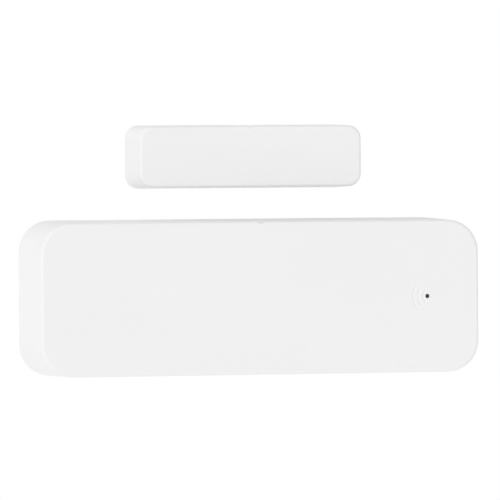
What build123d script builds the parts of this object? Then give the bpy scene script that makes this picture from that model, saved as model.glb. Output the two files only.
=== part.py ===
from build123d import *

import math
import os

# Door contact sensor: a radio sensor unit and its magnet unit, both stuck to flat surfaces.
# Millimetres. X is the long axis, -Y points out of the front faces, +Z is up.
# The origin is the centre of the sensor's adhesive back face.

# ---------------------------------------------------------------- driving dimensions
PAD_T = 0.8  # foam tape behind both units

# sensor unit, outside
SENSOR_W = 72.0
SENSOR_H = 25.0
SENSOR_D = 18.0
SENSOR_R = 5.1  # corner radius
SENSOR_DRAFT = 0.3  # the front outline is this much smaller on each side
EDGE_R = 0.5  # rounding of the front edges
RIM_R = 0.2  # rounding of the back rim
WALL = 1.4
FRONT_WALL = 1.6

# marks on the front
HOLE_X = 27.2
HOLE_R = 0.35
ARC_X = 27.8
ARC_RADII = (1.27, 2.11, 2.95)
ARC_HALF_ANGLE = 40.0
GROOVE_W = 0.45
GROOVE_DEPTH = 0.1
MARK_W = 1.3
MARK_DEPTH = 0.35
MARK_RUN = 8.0  # length over which the mark fades out

# rear plate of the sensor
FIT_GAP = 0.25  # between a rear plate and the shell around it
PLATE_T = 1.6
HOOK_XS = (-18.0, 24.0)
HOOK_W = 6.0
HOOK_REACH = 2.4
HOOK_IN_Z = 9.85
HOOK_OUT_Z = 10.6
NIB_OUT_Z = 10.9
RIDGE_IN_Z = 11.0
SLOT_W = 0.5
SLOT_IN_Z = 9.3
EJECTOR_XS = (-28.0, -9.0, 10.0, 28.0)
EJECTOR_Z = 7.4
EJECTOR_R = 1.3
EJECTOR_DEPTH = 0.1
PRY_W = 7.0
PRY_D = 0.8

# stack inside the sensor, as depths behind its front face
PCB_FRONT = 3.7
PCB_T = 1.0
PCB_BACK = PCB_FRONT + PCB_T
TRAY_FRONT = PCB_BACK + 0.1
TRAY_FLOOR = 0.7
CELL_R = 5.25
CELL_DEPTH = TRAY_FRONT + TRAY_FLOOR + 0.1 + CELL_R  # depth of both cell axes
CELL_Z = 5.35  # the cells lie side by side, above and below the middle

# battery bay along X
BAY_LEFT = -33.0
BAY_RIGHT = 15.4
TRAY_WALL = 1.0
CONTACT_T = 0.3
CELL_LENGTH = 44.5
NUB_LENGTH = 0.8
NUB_R = 1.9
CAN_R = 5.1
CAN_WALL = 0.25
SLEEVE_IN_R = 5.13
SPRING_R = 2.3
SPRING_WIRE_R = 0.25
SPRING_TURNS = 4

# main board
PCB_W = 67.8
PCB_H = 21.2
PCB_R = 3.5
SCREW_X = 31.0
SCREW_Z = 8.1
SCREW_R = 0.78
PEG_X = -30.0
PEG_Z = 7.0
STAKE_XS = (-20.0, 8.0)

# reed switch
REED_Z = 8.6
REED_DEPTH = 2.7
REED_R = 0.9
REED_LENGTH = 10.0
LEAD_R = 0.25
LEAD_X = 7.9

# pairing button, on the back of the board
BUTTON_X = 20.2
BUTTON_Z = -6.4
BUTTON_SIZE = 4.5
STEM_R = 1.03
FLANGE_R = 1.2

# helical antenna
ANTENNA_X = 31.3
ANTENNA_DEPTH = 7.5
ANTENNA_R = 2.0
ANTENNA_WIRE_R = 0.3
ANTENNA_TURNS = 8
ANTENNA_LENGTH = 10.4

# magnet unit
MAGNET_W = 36.8
MAGNET_H = 10.2
MAGNET_D = 11.0
MAGNET_R = 2.1
MAGNET_DRAFT = 0.2
MAGNET_WALL = 1.2
MAGNET_FRONT_WALL = 1.4
MAGNET_GAP = 5.0  # between the two units
MAGNET_MARK_DEPTH = 0.4
COVER_T = 1.2
BAR = (26.0, 5.0, 5.0)

# derived places
BACK_Y = -PAD_T
FRONT_Y = BACK_Y - SENSOR_D
SPRING_LENGTH = BAY_RIGHT - BAY_LEFT - 2 * CONTACT_T - CELL_LENGTH
INNER_W = SENSOR_W - 2 * WALL
INNER_H = SENSOR_H - 2 * WALL
INNER_R = SENSOR_R - WALL
MAGNET_Z = SENSOR_H / 2 + MAGNET_GAP + MAGNET_H / 2
MAGNET_FRONT_Y = BACK_Y - MAGNET_D


# ---------------------------------------------------------------- helpers
def at(depth):
    """Y of a place this far behind the sensor's front face."""
    return FRONT_Y + depth


def block(x0, x1, y0, y1, z0, z1):
    """Box between two corners."""
    centre = ((x0 + x1) / 2, (y0 + y1) / 2, (z0 + z1) / 2)
    return Pos(*centre) * Box(x1 - x0, y1 - y0, z1 - z0)


def slab(outline, front_y, back_y, taper=0.0):
    """An outline in X and Z made solid from back_y forward to front_y."""
    return extrude(Plane.XZ.offset(-back_y) * outline, amount=back_y - front_y, taper=taper)


def rod_x(radius, x0, x1, y, z):
    """Cylinder along X."""
    return Pos((x0 + x1) / 2, y, z) * Rot(0, 90, 0) * Cylinder(radius, x1 - x0)


def rod_y(radius, y0, y1, x, z):
    """Cylinder along Y."""
    return Pos(x, (y0 + y1) / 2, z) * Rot(90, 0, 0) * Cylinder(radius, y1 - y0)


def chord_radius(width, depth):
    """Radius of a round groove of this width and depth."""
    return (width**2 / 4 + depth**2) / (2 * depth)


def groove_between(start, end, radius):
    """Round cutter along a straight line."""
    axis = Vector(*end) - Vector(*start)
    base = Plane(origin=start, z_dir=axis)
    return base * Cylinder(radius, axis.length, align=(Align.CENTER, Align.CENTER, Align.MIN))


def drafted_box(width, height, depth, radius, draft, back_y, centre_z=0.0):
    """Rounded box that narrows slightly towards its front, with softened edges."""
    outline = Pos(0, centre_z) * Rectangle(width, height)
    taper = math.degrees(math.atan(draft / depth))
    body = slab(outline, back_y - depth, back_y, taper)
    body = fillet(body.edges().group_by(Axis.Y)[1], radius)
    body = fillet(body.edges().group_by(Axis.Y)[0], EDGE_R)
    return fillet(body.edges().group_by(Axis.Y)[-1], RIM_R)


def coil(turns, length, radius, wire_r, start, direction):
    """Round wire wound into a helix from start along direction."""
    path = Helix(length / turns, length, radius, center=start, direction=direction)
    section = Plane(origin=path @ 0, z_dir=path % 0) * Circle(wire_r)
    return sweep(section, path=path, is_frenet=True)


def save(shape, node):
    """One STEP file for each separate piece."""
    export_step(shape, f"parts/{node}.step")


# ---------------------------------------------------------------- sensor, outside
def signal_arcs():
    """Three shallow engraved arcs that open towards the hole."""
    radius = chord_radius(GROOVE_W, GROOVE_DEPTH)
    plane = Plane.XZ.offset(-(FRONT_Y - radius + GROOVE_DEPTH))
    cutters = []
    for arc_r in ARC_RADII:
        start_angle = 180 - ARC_HALF_ANGLE
        path = plane * CenterArc((ARC_X, 0), arc_r, start_angle, 2 * ARC_HALF_ANGLE)
        section = Plane(origin=path @ 0, z_dir=path % 0) * Circle(radius)
        cutters.append(sweep(section, path=path))
        for end in (path @ 0, path @ 1):
            cutters.append(Pos(end) * Sphere(radius))
    return cutters


def sensor_mark():
    """Thumbnail-shaped mark in the top edge, which fades out towards the back."""
    radius = chord_radius(MARK_W, MARK_DEPTH)
    top = SENSOR_H / 2 - SENSOR_DRAFT
    slope = (MARK_DEPTH + SENSOR_DRAFT * MARK_RUN / SENSOR_D) / MARK_RUN
    ahead = 1.0
    start_z = top - MARK_DEPTH + radius
    start = (0, FRONT_Y - ahead, start_z - slope * ahead)
    end = (0, FRONT_Y + MARK_RUN + ahead, start_z + slope * (MARK_RUN + ahead))
    return groove_between(start, end, radius)


def front_shell():
    shell = drafted_box(SENSOR_W, SENSOR_H, SENSOR_D, SENSOR_R, SENSOR_DRAFT, BACK_Y)
    cavity = slab(RectangleRounded(INNER_W, INNER_H, INNER_R), at(FRONT_WALL), BACK_Y + 1)
    shell -= cavity
    for z in (-SCREW_Z, SCREW_Z):
        shell += rod_y(1.7, at(FRONT_WALL), at(PCB_FRONT), SCREW_X, z)
        shell -= rod_y(SCREW_R + 0.02, at(FRONT_WALL + 0.1), at(PCB_FRONT), SCREW_X, z)
    for z in (-PEG_Z, PEG_Z):
        shell += rod_y(1.5, at(FRONT_WALL), at(PCB_FRONT), PEG_X, z)
        shell += rod_y(0.75, at(PCB_FRONT), at(PCB_BACK - 0.1), PEG_X, z)
    for x in (-22.0, 14.0):
        for side in (-1, 1):
            z0, z1 = sorted((side * 9.9, side * (INNER_H / 2 + 0.2)))
            shell += block(x - 1.5, x + 1.5, at(FRONT_WALL), at(PCB_FRONT), z0, z1)
    for x in HOOK_XS:
        for side in (-1, 1):
            z0, z1 = sorted((side * RIDGE_IN_Z, side * (INNER_H / 2 + 0.2)))
            shell += block(x - 3.5, x + 3.5, at(15.2), at(15.9), z0, z1)
    # collar that holds the light pipe
    shell += rod_y(1.9, at(FRONT_WALL), at(2.6), HOLE_X, 0)
    shell -= rod_y(1.3, at(FRONT_WALL), at(2.6), HOLE_X, 0)
    shell -= rod_y(HOLE_R, FRONT_Y - 1, at(FRONT_WALL), HOLE_X, 0)
    # slot in the lower rim where a blade lifts the shell off the plate
    shell -= block(
        -PRY_W / 2, PRY_W / 2, BACK_Y - PRY_D, BACK_Y + 1, -SENSOR_H / 2 - 1, -INNER_H / 2 + 0.2
    )
    shell -= sensor_mark()
    for cutter in signal_arcs():
        shell -= cutter
    return shell


def wall_plate():
    width = INNER_W - 2 * FIT_GAP
    height = INNER_H - 2 * FIT_GAP
    front = BACK_Y - PLATE_T
    plate = slab(RectangleRounded(width, height, INNER_R - FIT_GAP), front, BACK_Y)
    plate = fillet(plate.edges().group_by(Axis.Y)[0], 0.3)
    for x in HOOK_XS:
        for side in (-1, 1):
            z0, z1 = sorted((side * HOOK_IN_Z, side * HOOK_OUT_Z))
            tip = front - HOOK_REACH
            plate += block(x - HOOK_W / 2, x + HOOK_W / 2, tip, front + 0.2, z0, z1)
            z0, z1 = sorted((side * HOOK_IN_Z, side * NIB_OUT_Z))
            plate += block(x - HOOK_W / 2, x + HOOK_W / 2, tip, tip + 0.8, z0, z1)
            # slots on both sides of the hook, so that its root can bend
            z0, z1 = sorted((side * SLOT_IN_Z, side * (height / 2 + 1)))
            for slot_x in (x - HOOK_W / 2 - SLOT_W, x + HOOK_W / 2):
                plate -= block(slot_x, slot_x + SLOT_W, front - 1, BACK_Y + 1, z0, z1)
    for z in (-5.0, 5.0):
        plate += block(18.0, 32.0, front - 1.2, front + 0.2, z - 0.4, z + 0.4)
    for x in EJECTOR_XS:
        for z in (-EJECTOR_Z, EJECTOR_Z):
            plate -= rod_y(EJECTOR_R, front - 1, front + EJECTOR_DEPTH, x, z)
    return plate


def sensor_adhesive_pad():
    return slab(RectangleRounded(62.0, 18.0, 2.0), BACK_Y, 0)


def light_pipe():
    pipe = rod_y(1.2, at(FRONT_WALL + 0.05), at(2.75), HOLE_X, 0)
    return pipe + rod_y(HOLE_R - 0.05, at(0.35), at(2.0), HOLE_X, 0)


# ---------------------------------------------------------------- main board and its pieces
def main_pcb():
    board = slab(RectangleRounded(PCB_W, PCB_H, PCB_R), at(PCB_FRONT), at(PCB_BACK))
    y0, y1 = at(PCB_FRONT - 1), at(PCB_BACK + 1)
    for z in (-SCREW_Z, SCREW_Z):
        board -= rod_y(0.95, y0, y1, SCREW_X, z)
    for z in (-PEG_Z, PEG_Z):
        board -= rod_y(0.85, y0, y1, PEG_X, z)
    for x in STAKE_XS:
        board -= rod_y(0.8, y0, y1, x, 0)
    for z in (-CELL_Z, CELL_Z):
        x = BAY_RIGHT - CONTACT_T / 2
        board -= block(x - 0.35, x + 0.35, y0, y1, z - 1.4, z + 1.4)
    return board


def pcb_screws():
    screws = []
    for z in (-SCREW_Z, SCREW_Z):
        head = rod_y(1.5, at(PCB_BACK), at(PCB_BACK + 1.0), SCREW_X, z)
        head = fillet(head.edges().group_by(Axis.Y)[-1], 0.4)
        top = at(PCB_BACK + 1.0)
        head -= block(SCREW_X - 0.8, SCREW_X + 0.8, top - 0.5, top + 0.1, z - 0.16, z + 0.16)
        head -= block(SCREW_X - 0.16, SCREW_X + 0.16, top - 0.5, top + 0.1, z - 0.8, z + 0.8)
        screws.append(head + rod_y(SCREW_R, at(1.9), at(PCB_BACK), SCREW_X, z))
    return Compound(children=screws)


def leaded_chip(x, z, width, height, thickness, legs_per_side, pitch, leg_w):
    """Chip on the front of the board, with bent legs on its upper and lower sides."""
    front = at(PCB_FRONT - 0.15 - thickness)
    back = at(PCB_FRONT - 0.15)
    chip = block(x - width / 2, x + width / 2, front, back, z - height / 2, z + height / 2)
    middle = (front + back) / 2
    for side in (-1, 1):
        edge = z + side * height / 2
        for i in range(legs_per_side):
            leg_x = x + (i - (legs_per_side - 1) / 2) * pitch
            x0, x1 = leg_x - leg_w / 2, leg_x + leg_w / 2
            z0, z1 = sorted((edge - side * 0.1, edge + side * 0.45))
            chip += block(x0, x1, middle, middle + 0.15, z0, z1)
            z0, z1 = sorted((edge + side * 0.3, edge + side * 0.45))
            chip += block(x0, x1, middle, at(PCB_FRONT), z0, z1)
            z0, z1 = sorted((edge + side * 0.3, edge + side * 0.9))
            chip += block(x0, x1, at(PCB_FRONT - 0.15), at(PCB_FRONT), z0, z1)
    return chip


def memory_chip():
    return leaded_chip(-8.0, -3.4, 4.9, 3.9, 1.4, 4, 1.27, 0.4)


def regulator_chip():
    return leaded_chip(12.0, -6.0, 2.9, 1.6, 1.05, 3, 0.95, 0.35)


def chip_group(places, thickness, upright):
    """Identical two-ended chip parts, soldered to the front of the board."""
    chips = []
    for x, z in places:
        half_x, half_z = (0.4, 0.8) if upright else (0.8, 0.4)
        y0 = at(PCB_FRONT - thickness)
        body = block(x - half_x, x + half_x, y0, at(PCB_FRONT), z - half_z, z + half_z)
        chips.append(fillet(body.edges(), 0.08))
    return Compound(children=chips)


def chip_capacitors():
    places = [(9.0 + 1.7 * i, -2.6) for i in range(4)] + [(-13.6, -2.0), (-13.6, -4.6)]
    return chip_group(places, 0.8, True)


def chip_resistors():
    places = [(22.6, -2.4 + 1.6 * i) for i in range(4)] + [(-2.4, -6.4), (0.4, -6.4)]
    return chip_group(places, 0.45, False)


def status_led():
    base = block(HOLE_X - 1.0, HOLE_X + 1.0, at(3.3), at(PCB_FRONT), -0.62, 0.62)
    lens = block(HOLE_X - 0.7, HOLE_X + 0.7, at(2.85), at(3.35), -0.6, 0.6)
    return base + fillet(lens.edges().group_by(Axis.Y)[0], 0.2)


def reed_glass():
    y = at(REED_DEPTH)
    half = REED_LENGTH / 2
    tube = rod_x(REED_R, -half, half, y, REED_Z)
    tube = fillet(tube.edges().filter_by(GeomType.CIRCLE), 0.6)
    tube -= rod_x(REED_R - 0.25, -half + 1.3, half - 1.3, y, REED_Z)
    return tube - rod_x(LEAD_R + 0.01, -half - 1, half + 1, y, REED_Z)


def reed_blade(side):
    """One flattened blade, with the round lead that runs out of the glass to the board."""
    y = at(REED_DEPTH)
    lead_y = y - side * 0.105
    points = [
        (side * 3.4, y, REED_Z),
        (side * LEAD_X, y, REED_Z),
        (side * LEAD_X, at(PCB_FRONT), REED_Z),
    ]
    path = FilletPolyline(*points, radius=0.4)
    section = Plane(origin=path @ 0, z_dir=path % 0) * Circle(LEAD_R)
    lead = sweep(section, path=path)
    x0, x1 = sorted((-side * 0.6, side * 3.5))
    return lead + block(x0, x1, lead_y - 0.075, lead_y + 0.075, REED_Z - 0.45, REED_Z + 0.45)


def radio_board():
    y0, y1 = at(PCB_BACK), at(PCB_BACK + 0.8)
    board = block(17.6, 28.4, y0, y1, -0.8, 10.2)
    for i in range(8):
        for x in (17.6, 28.4):
            board -= rod_y(0.3, y0 - 1, y1 + 1, x, 0.2 + 1.27 * i)
    return board


def radio_chip():
    y0 = at(PCB_BACK + 0.8)
    return block(20.3, 25.3, y0, y0 + 0.85, 2.9, 7.9)


def crystal():
    y0 = at(PCB_BACK + 0.8)
    body = block(25.65, 27.25, y0, y0 + 0.6, 4.4, 6.4)
    return fillet(body.edges().filter_by(Axis.Y), 0.25)


def radio_shield():
    y0 = at(PCB_BACK + 0.8)
    can = fillet(block(18.3, 27.7, y0, y0 + 1.6, 1.4, 9.8).edges().group_by(Axis.Y)[-1], 0.25)
    can -= block(18.5, 27.5, y0 - 1, y0 + 1.4, 1.6, 9.6)
    for i in range(5):
        can -= rod_y(0.35, y0, y0 + 3, 19.8 + 1.6 * i, 5.6)
    return can


def reservoir_capacitor():
    x, z = 26.2, -5.6
    y0, y1 = at(PCB_BACK), at(PCB_BACK + 6.5)
    can = rod_y(2.5, y0, y1, x, z)
    can = fillet(can.edges().group_by(Axis.Y)[-1], 0.4)
    neck = Pos(x, y0 + 1.3, z) * Rot(90, 0, 0) * Torus(2.75, 0.4)
    can -= neck
    for turn in (45, 135):
        can -= Pos(x, y1, z) * Rot(0, turn, 0) * Box(3.0, 0.2, 0.15)
    return can


def helical_antenna():
    start = (ANTENNA_X, at(ANTENNA_DEPTH), -ANTENNA_LENGTH / 2)
    winding = coil(ANTENNA_TURNS, ANTENNA_LENGTH, ANTENNA_R, ANTENNA_WIRE_R, start, (0, 0, 1))
    foot_x = ANTENNA_X + ANTENNA_R
    foot_z = -ANTENNA_LENGTH / 2
    leg = rod_y(ANTENNA_WIRE_R, at(PCB_BACK), at(ANTENNA_DEPTH), foot_x, foot_z)
    return winding + leg


def button_base():
    half = BUTTON_SIZE / 2
    x, z = BUTTON_X, BUTTON_Z
    base = block(x - half, x + half, at(PCB_BACK), at(6.3), z - half, z + half)
    base = chamfer(base.edges().filter_by(Axis.Y), 0.3)
    return base - rod_y(FLANGE_R + 0.08, at(5.2), at(7), x, z)


def button_frame():
    half = BUTTON_SIZE / 2 - 0.1
    x, z = BUTTON_X, BUTTON_Z
    frame = block(x - half, x + half, at(6.3), at(6.5), z - half, z + half)
    frame = chamfer(frame.edges().filter_by(Axis.Y), 0.3)
    return frame - rod_y(STEM_R + 0.09, at(6), at(7), x, z)


def pairing_button():
    button = rod_y(FLANGE_R, at(5.8), at(6.2), BUTTON_X, BUTTON_Z)
    button += rod_y(STEM_R, at(6.0), at(7.6), BUTTON_X, BUTTON_Z)
    return fillet(button.edges().group_by(Axis.Y)[-1], 0.15)


# ---------------------------------------------------------------- batteries
def battery_tray():
    left = BAY_LEFT - TRAY_WALL
    right = BAY_RIGHT + TRAY_WALL
    front = at(TRAY_FRONT)
    floor = block(left, right, front, front + TRAY_FLOOR, -10.8, 10.8)
    corner_edges = floor.edges().filter_by(Axis.Y).group_by(Axis.X)[0]
    tray = fillet(corner_edges, INNER_R - 0.2)
    tray -= block(BAY_LEFT, BAY_LEFT + 0.5, front + TRAY_FLOOR - 0.1, at(9.0), -8.4, 8.4)
    # side rails and the ridge between the cells follow the round cells
    tray += block(-29.0, right, front, at(9.0), -10.8, 10.8)
    tray += block(BAY_LEFT + 1.0, right, front, at(9.0), -3.0, 3.0)
    tray += block(left, BAY_LEFT, front, at(15.6), -8.5, 8.5)
    tray += block(BAY_RIGHT, right, front, at(15.6), -10.6, 10.6)
    for z in (-CELL_Z, CELL_Z):
        tray -= rod_x(CELL_R + 0.1, BAY_LEFT, BAY_RIGHT, at(CELL_DEPTH), z)
        x = BAY_RIGHT - CONTACT_T / 2
        tray -= block(x - 0.35, x + 0.35, front - 1, at(7.5), z - 1.4, z + 1.4)
    # pins pressed through the board, with their melted heads
    for x in STAKE_XS:
        tray += rod_y(0.7, at(PCB_FRONT - 0.3), front, x, 0)
        tray += rod_y(1.1, at(PCB_FRONT - 0.5), at(PCB_FRONT), x, 0)
    return tray


def cell_span(positive_left):
    """X of the tip of the positive nub and of the can's negative end."""
    if positive_left:
        tip = BAY_LEFT + CONTACT_T
        return tip, tip + CELL_LENGTH
    tip = BAY_RIGHT - CONTACT_T
    return tip, tip - CELL_LENGTH


def cell_pieces(z, positive_left):
    """Steel can with its nub, the filling, and the printed sleeve of one cell."""
    y = at(CELL_DEPTH)
    tip, end = cell_span(positive_left)
    inward = 1 if positive_left else -1
    shoulder = tip + inward * NUB_LENGTH
    x0, x1 = sorted((shoulder, end))
    can = fillet(rod_x(CAN_R, x0, x1, y, z).edges().filter_by(GeomType.CIRCLE), 0.4)
    core = rod_x(CAN_R - CAN_WALL, x0 + CAN_WALL, x1 - CAN_WALL, y, z)
    nub_x0, nub_x1 = sorted((tip, shoulder + inward * 0.1))
    nub = fillet(rod_x(NUB_R, nub_x0, nub_x1, y, z).edges().filter_by(GeomType.CIRCLE), 0.05)
    ring = rod_x(4.3, end - 0.12, end + 0.12, y, z) - rod_x(3.5, end - 1, end + 1, y, z)
    sleeve = rod_x(CELL_R, x0 + 0.45, x1 - 0.45, y, z)
    sleeve -= rod_x(SLEEVE_IN_R, x0, x1, y, z)
    return can - core - ring + nub, core, sleeve


def contact_coil(plate_x, z, inward):
    """Coil spring that stands on a contact plate and presses on a cell's negative end."""
    length = SPRING_LENGTH - 2 * SPRING_WIRE_R + 0.1
    start = (plate_x + inward * (SPRING_WIRE_R - 0.1), at(CELL_DEPTH), z)
    return coil(SPRING_TURNS, length, SPRING_R, SPRING_WIRE_R, start, (inward, 0, 0))


def contact_plate(z, tab):
    """Plate against the right-hand wall of the bay, with a tab soldered through the board."""
    x0, x1 = BAY_RIGHT - CONTACT_T, BAY_RIGHT
    plate = block(x0, x1, at(CELL_DEPTH - 3.5), at(CELL_DEPTH + 3.5), z - 3.4, z + 3.4)
    plate = chamfer(plate.edges().filter_by(Axis.X), 0.8)
    if tab:
        plate += block(x0, x1, at(PCB_FRONT - 0.3), at(CELL_DEPTH - 3.0), z - 1.2, z + 1.2)
    return plate


def negative_spring():
    return contact_plate(CELL_Z, True) + contact_coil(BAY_RIGHT - CONTACT_T, CELL_Z, -1)


def positive_contact():
    return contact_plate(-CELL_Z, True)


def link_contact():
    x0, x1 = BAY_LEFT, BAY_LEFT + CONTACT_T
    plate = block(x0, x1, at(CELL_DEPTH - 3.5), at(CELL_DEPTH + 3.5), -8.2, 8.2)
    plate = chamfer(plate.edges().filter_by(Axis.X), 0.8)
    return plate + contact_coil(BAY_LEFT + CONTACT_T, -CELL_Z, 1)


# ---------------------------------------------------------------- magnet unit
def magnet_housing():
    housing = drafted_box(
        MAGNET_W, MAGNET_H, MAGNET_D, MAGNET_R, MAGNET_DRAFT, BACK_Y, MAGNET_Z
    )
    inner_w = MAGNET_W - 2 * MAGNET_WALL
    inner_h = MAGNET_H - 2 * MAGNET_WALL
    inner_front = MAGNET_FRONT_Y + MAGNET_FRONT_WALL
    outline = Pos(0, MAGNET_Z) * RectangleRounded(inner_w, inner_h, MAGNET_R - MAGNET_WALL)
    housing -= slab(outline, inner_front, BACK_Y + 1)
    # ribs that hold the bar at its ends and along its sides
    for side in (-1, 1):
        x0, x1 = sorted((side * (BAR[0] / 2 + 0.1), side * (BAR[0] / 2 + 1.1)))
        y1 = inner_front + BAR[1]
        reach = inner_h / 2 + 0.2
        housing += block(x0, x1, inner_front, y1, MAGNET_Z - reach, MAGNET_Z + reach)
        for x in (-8.0, 0.0, 8.0):
            near = MAGNET_Z + side * (BAR[2] / 2 + 0.1)
            z0, z1 = sorted((near, MAGNET_Z + side * reach))
            housing += block(x - 0.5, x + 0.5, inner_front, y1, z0, z1)
    # alignment groove along the top side
    radius = chord_radius(MARK_W, MAGNET_MARK_DEPTH)
    top = MAGNET_Z + MAGNET_H / 2
    slope = MAGNET_DRAFT / MAGNET_D
    start_z = top - MAGNET_DRAFT - MAGNET_MARK_DEPTH + radius
    start = (0, MAGNET_FRONT_Y - 1, start_z - slope)
    end = (0, BACK_Y + 1, start_z + slope * (MAGNET_D + 1))
    return housing - groove_between(start, end, radius)


def bar_magnet():
    y0 = MAGNET_FRONT_Y + MAGNET_FRONT_WALL + 0.3
    z0, z1 = MAGNET_Z - BAR[2] / 2, MAGNET_Z + BAR[2] / 2
    bar = block(-BAR[0] / 2, BAR[0] / 2, y0, y0 + BAR[1], z0, z1)
    return chamfer(bar.edges(), 0.3)


def magnet_cover():
    inner_w = MAGNET_W - 2 * MAGNET_WALL
    inner_h = MAGNET_H - 2 * MAGNET_WALL
    width, height = inner_w - 2 * FIT_GAP, inner_h - 2 * FIT_GAP
    outline = Pos(0, MAGNET_Z) * RectangleRounded(width, height, MAGNET_R - MAGNET_WALL - FIT_GAP)
    cover = slab(outline, BACK_Y - COVER_T, BACK_Y)
    bar_back = MAGNET_FRONT_Y + MAGNET_FRONT_WALL + 0.3 + BAR[1]
    for x in (-6.0, 6.0):
        cover += rod_y(1.5, bar_back + 0.05, BACK_Y - COVER_T + 0.2, x, MAGNET_Z)
    return cover


def magnet_adhesive_pad():
    return slab(Pos(0, MAGNET_Z) * RectangleRounded(31.0, 6.6, 1.2), BACK_Y, 0)


# ---------------------------------------------------------------- write every piece
os.makedirs("parts", exist_ok=True)

pieces = [
    front_shell,
    wall_plate,
    sensor_adhesive_pad,
    light_pipe,
    main_pcb,
    pcb_screws,
    memory_chip,
    regulator_chip,
    chip_capacitors,
    chip_resistors,
    status_led,
    reed_glass,
    radio_board,
    radio_chip,
    crystal,
    radio_shield,
    reservoir_capacitor,
    helical_antenna,
    button_base,
    button_frame,
    pairing_button,
    battery_tray,
    negative_spring,
    positive_contact,
    link_contact,
    magnet_housing,
    bar_magnet,
    magnet_cover,
    magnet_adhesive_pad,
]
for piece in pieces:
    save(piece(), piece.__name__)

save(reed_blade(-1), "reed_blade_left")
save(reed_blade(1), "reed_blade_right")

for cell_name, cell_z, nub_left in (("cell_a", CELL_Z, True), ("cell_b", -CELL_Z, False)):
    can, core, sleeve = cell_pieces(cell_z, nub_left)
    save(can, f"{cell_name}_can")
    save(core, f"{cell_name}_core")
    save(sleeve, f"{cell_name}_sleeve")
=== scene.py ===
import math

import bmesh
import bpy
from mathutils import Matrix, Vector, noise


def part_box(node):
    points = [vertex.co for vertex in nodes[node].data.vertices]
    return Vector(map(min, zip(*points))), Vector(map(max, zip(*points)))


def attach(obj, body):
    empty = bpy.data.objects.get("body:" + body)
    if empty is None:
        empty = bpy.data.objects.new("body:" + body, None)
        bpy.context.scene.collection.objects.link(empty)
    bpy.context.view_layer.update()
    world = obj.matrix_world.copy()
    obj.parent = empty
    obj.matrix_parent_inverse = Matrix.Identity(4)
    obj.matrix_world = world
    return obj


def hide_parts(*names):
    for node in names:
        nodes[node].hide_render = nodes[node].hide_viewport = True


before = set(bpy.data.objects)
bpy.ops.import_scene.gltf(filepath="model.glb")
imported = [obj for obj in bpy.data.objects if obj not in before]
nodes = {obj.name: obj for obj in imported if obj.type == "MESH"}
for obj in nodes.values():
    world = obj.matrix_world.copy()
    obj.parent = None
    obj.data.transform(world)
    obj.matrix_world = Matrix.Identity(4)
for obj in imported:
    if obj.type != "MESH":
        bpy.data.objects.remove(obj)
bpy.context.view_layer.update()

MM = 0.001

# bodies that the added pieces ride on
WALL = "wall_mount"
SENSOR = "sensor_body"
MAGNET = "magnet_unit"

WHITE = (1.0, 1.0, 1.0, 1.0)


# -------------------- camera
# A long lens in front of the sensor and a little to its left, as a product is photographed.
VIEW_AZIMUTH = -13.03
VIEW_ELEVATION = 0.80
VIEW_ROLL = -0.42
VIEW_DISTANCE = 0.8924
VIEW_TARGET = Vector((0.16, -9.8, 7.54)) * MM
LENS_MM = 400.0
CLIP_NEAR = 0.05
CLIP_FAR = 12.0


def add_camera():
    """Adds the scene's camera, which looks at VIEW_TARGET."""
    azimuth, elevation, roll = map(math.radians, (VIEW_AZIMUTH, VIEW_ELEVATION, VIEW_ROLL))
    level_part = math.cos(elevation)
    back = Vector(
        (math.sin(azimuth) * level_part, -math.cos(azimuth) * level_part, math.sin(elevation))
    )
    camera = bpy.data.objects.new("camera", bpy.data.cameras.new("camera"))
    bpy.context.scene.collection.objects.link(camera)
    camera.data.lens = LENS_MM
    camera.data.clip_start = CLIP_NEAR
    camera.data.clip_end = CLIP_FAR
    camera.location = VIEW_TARGET + back * VIEW_DISTANCE
    level = (-back).to_track_quat("-Z", "Y").to_matrix()
    camera.rotation_euler = (level @ Matrix.Rotation(roll, 3, "Z")).to_euler()
    bpy.context.scene.camera = camera


# -------------------- shader building
def feed_socket(tree, socket, value):
    """Sets a socket to a value or links it to another node's output; None leaves it alone."""
    if isinstance(value, bpy.types.NodeSocket):
        tree.links.new(value, socket)
    elif value is not None:
        socket.default_value = value


def add_node(tree, kind, inputs, settings):
    """A node with its inputs set, in order, to values or to other nodes' outputs."""
    made = tree.nodes.new(kind)
    for key, value in settings.items():
        setattr(made, key, value)
    for socket, value in zip(made.inputs, inputs):
        feed_socket(tree, socket, value)
    return made


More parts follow.
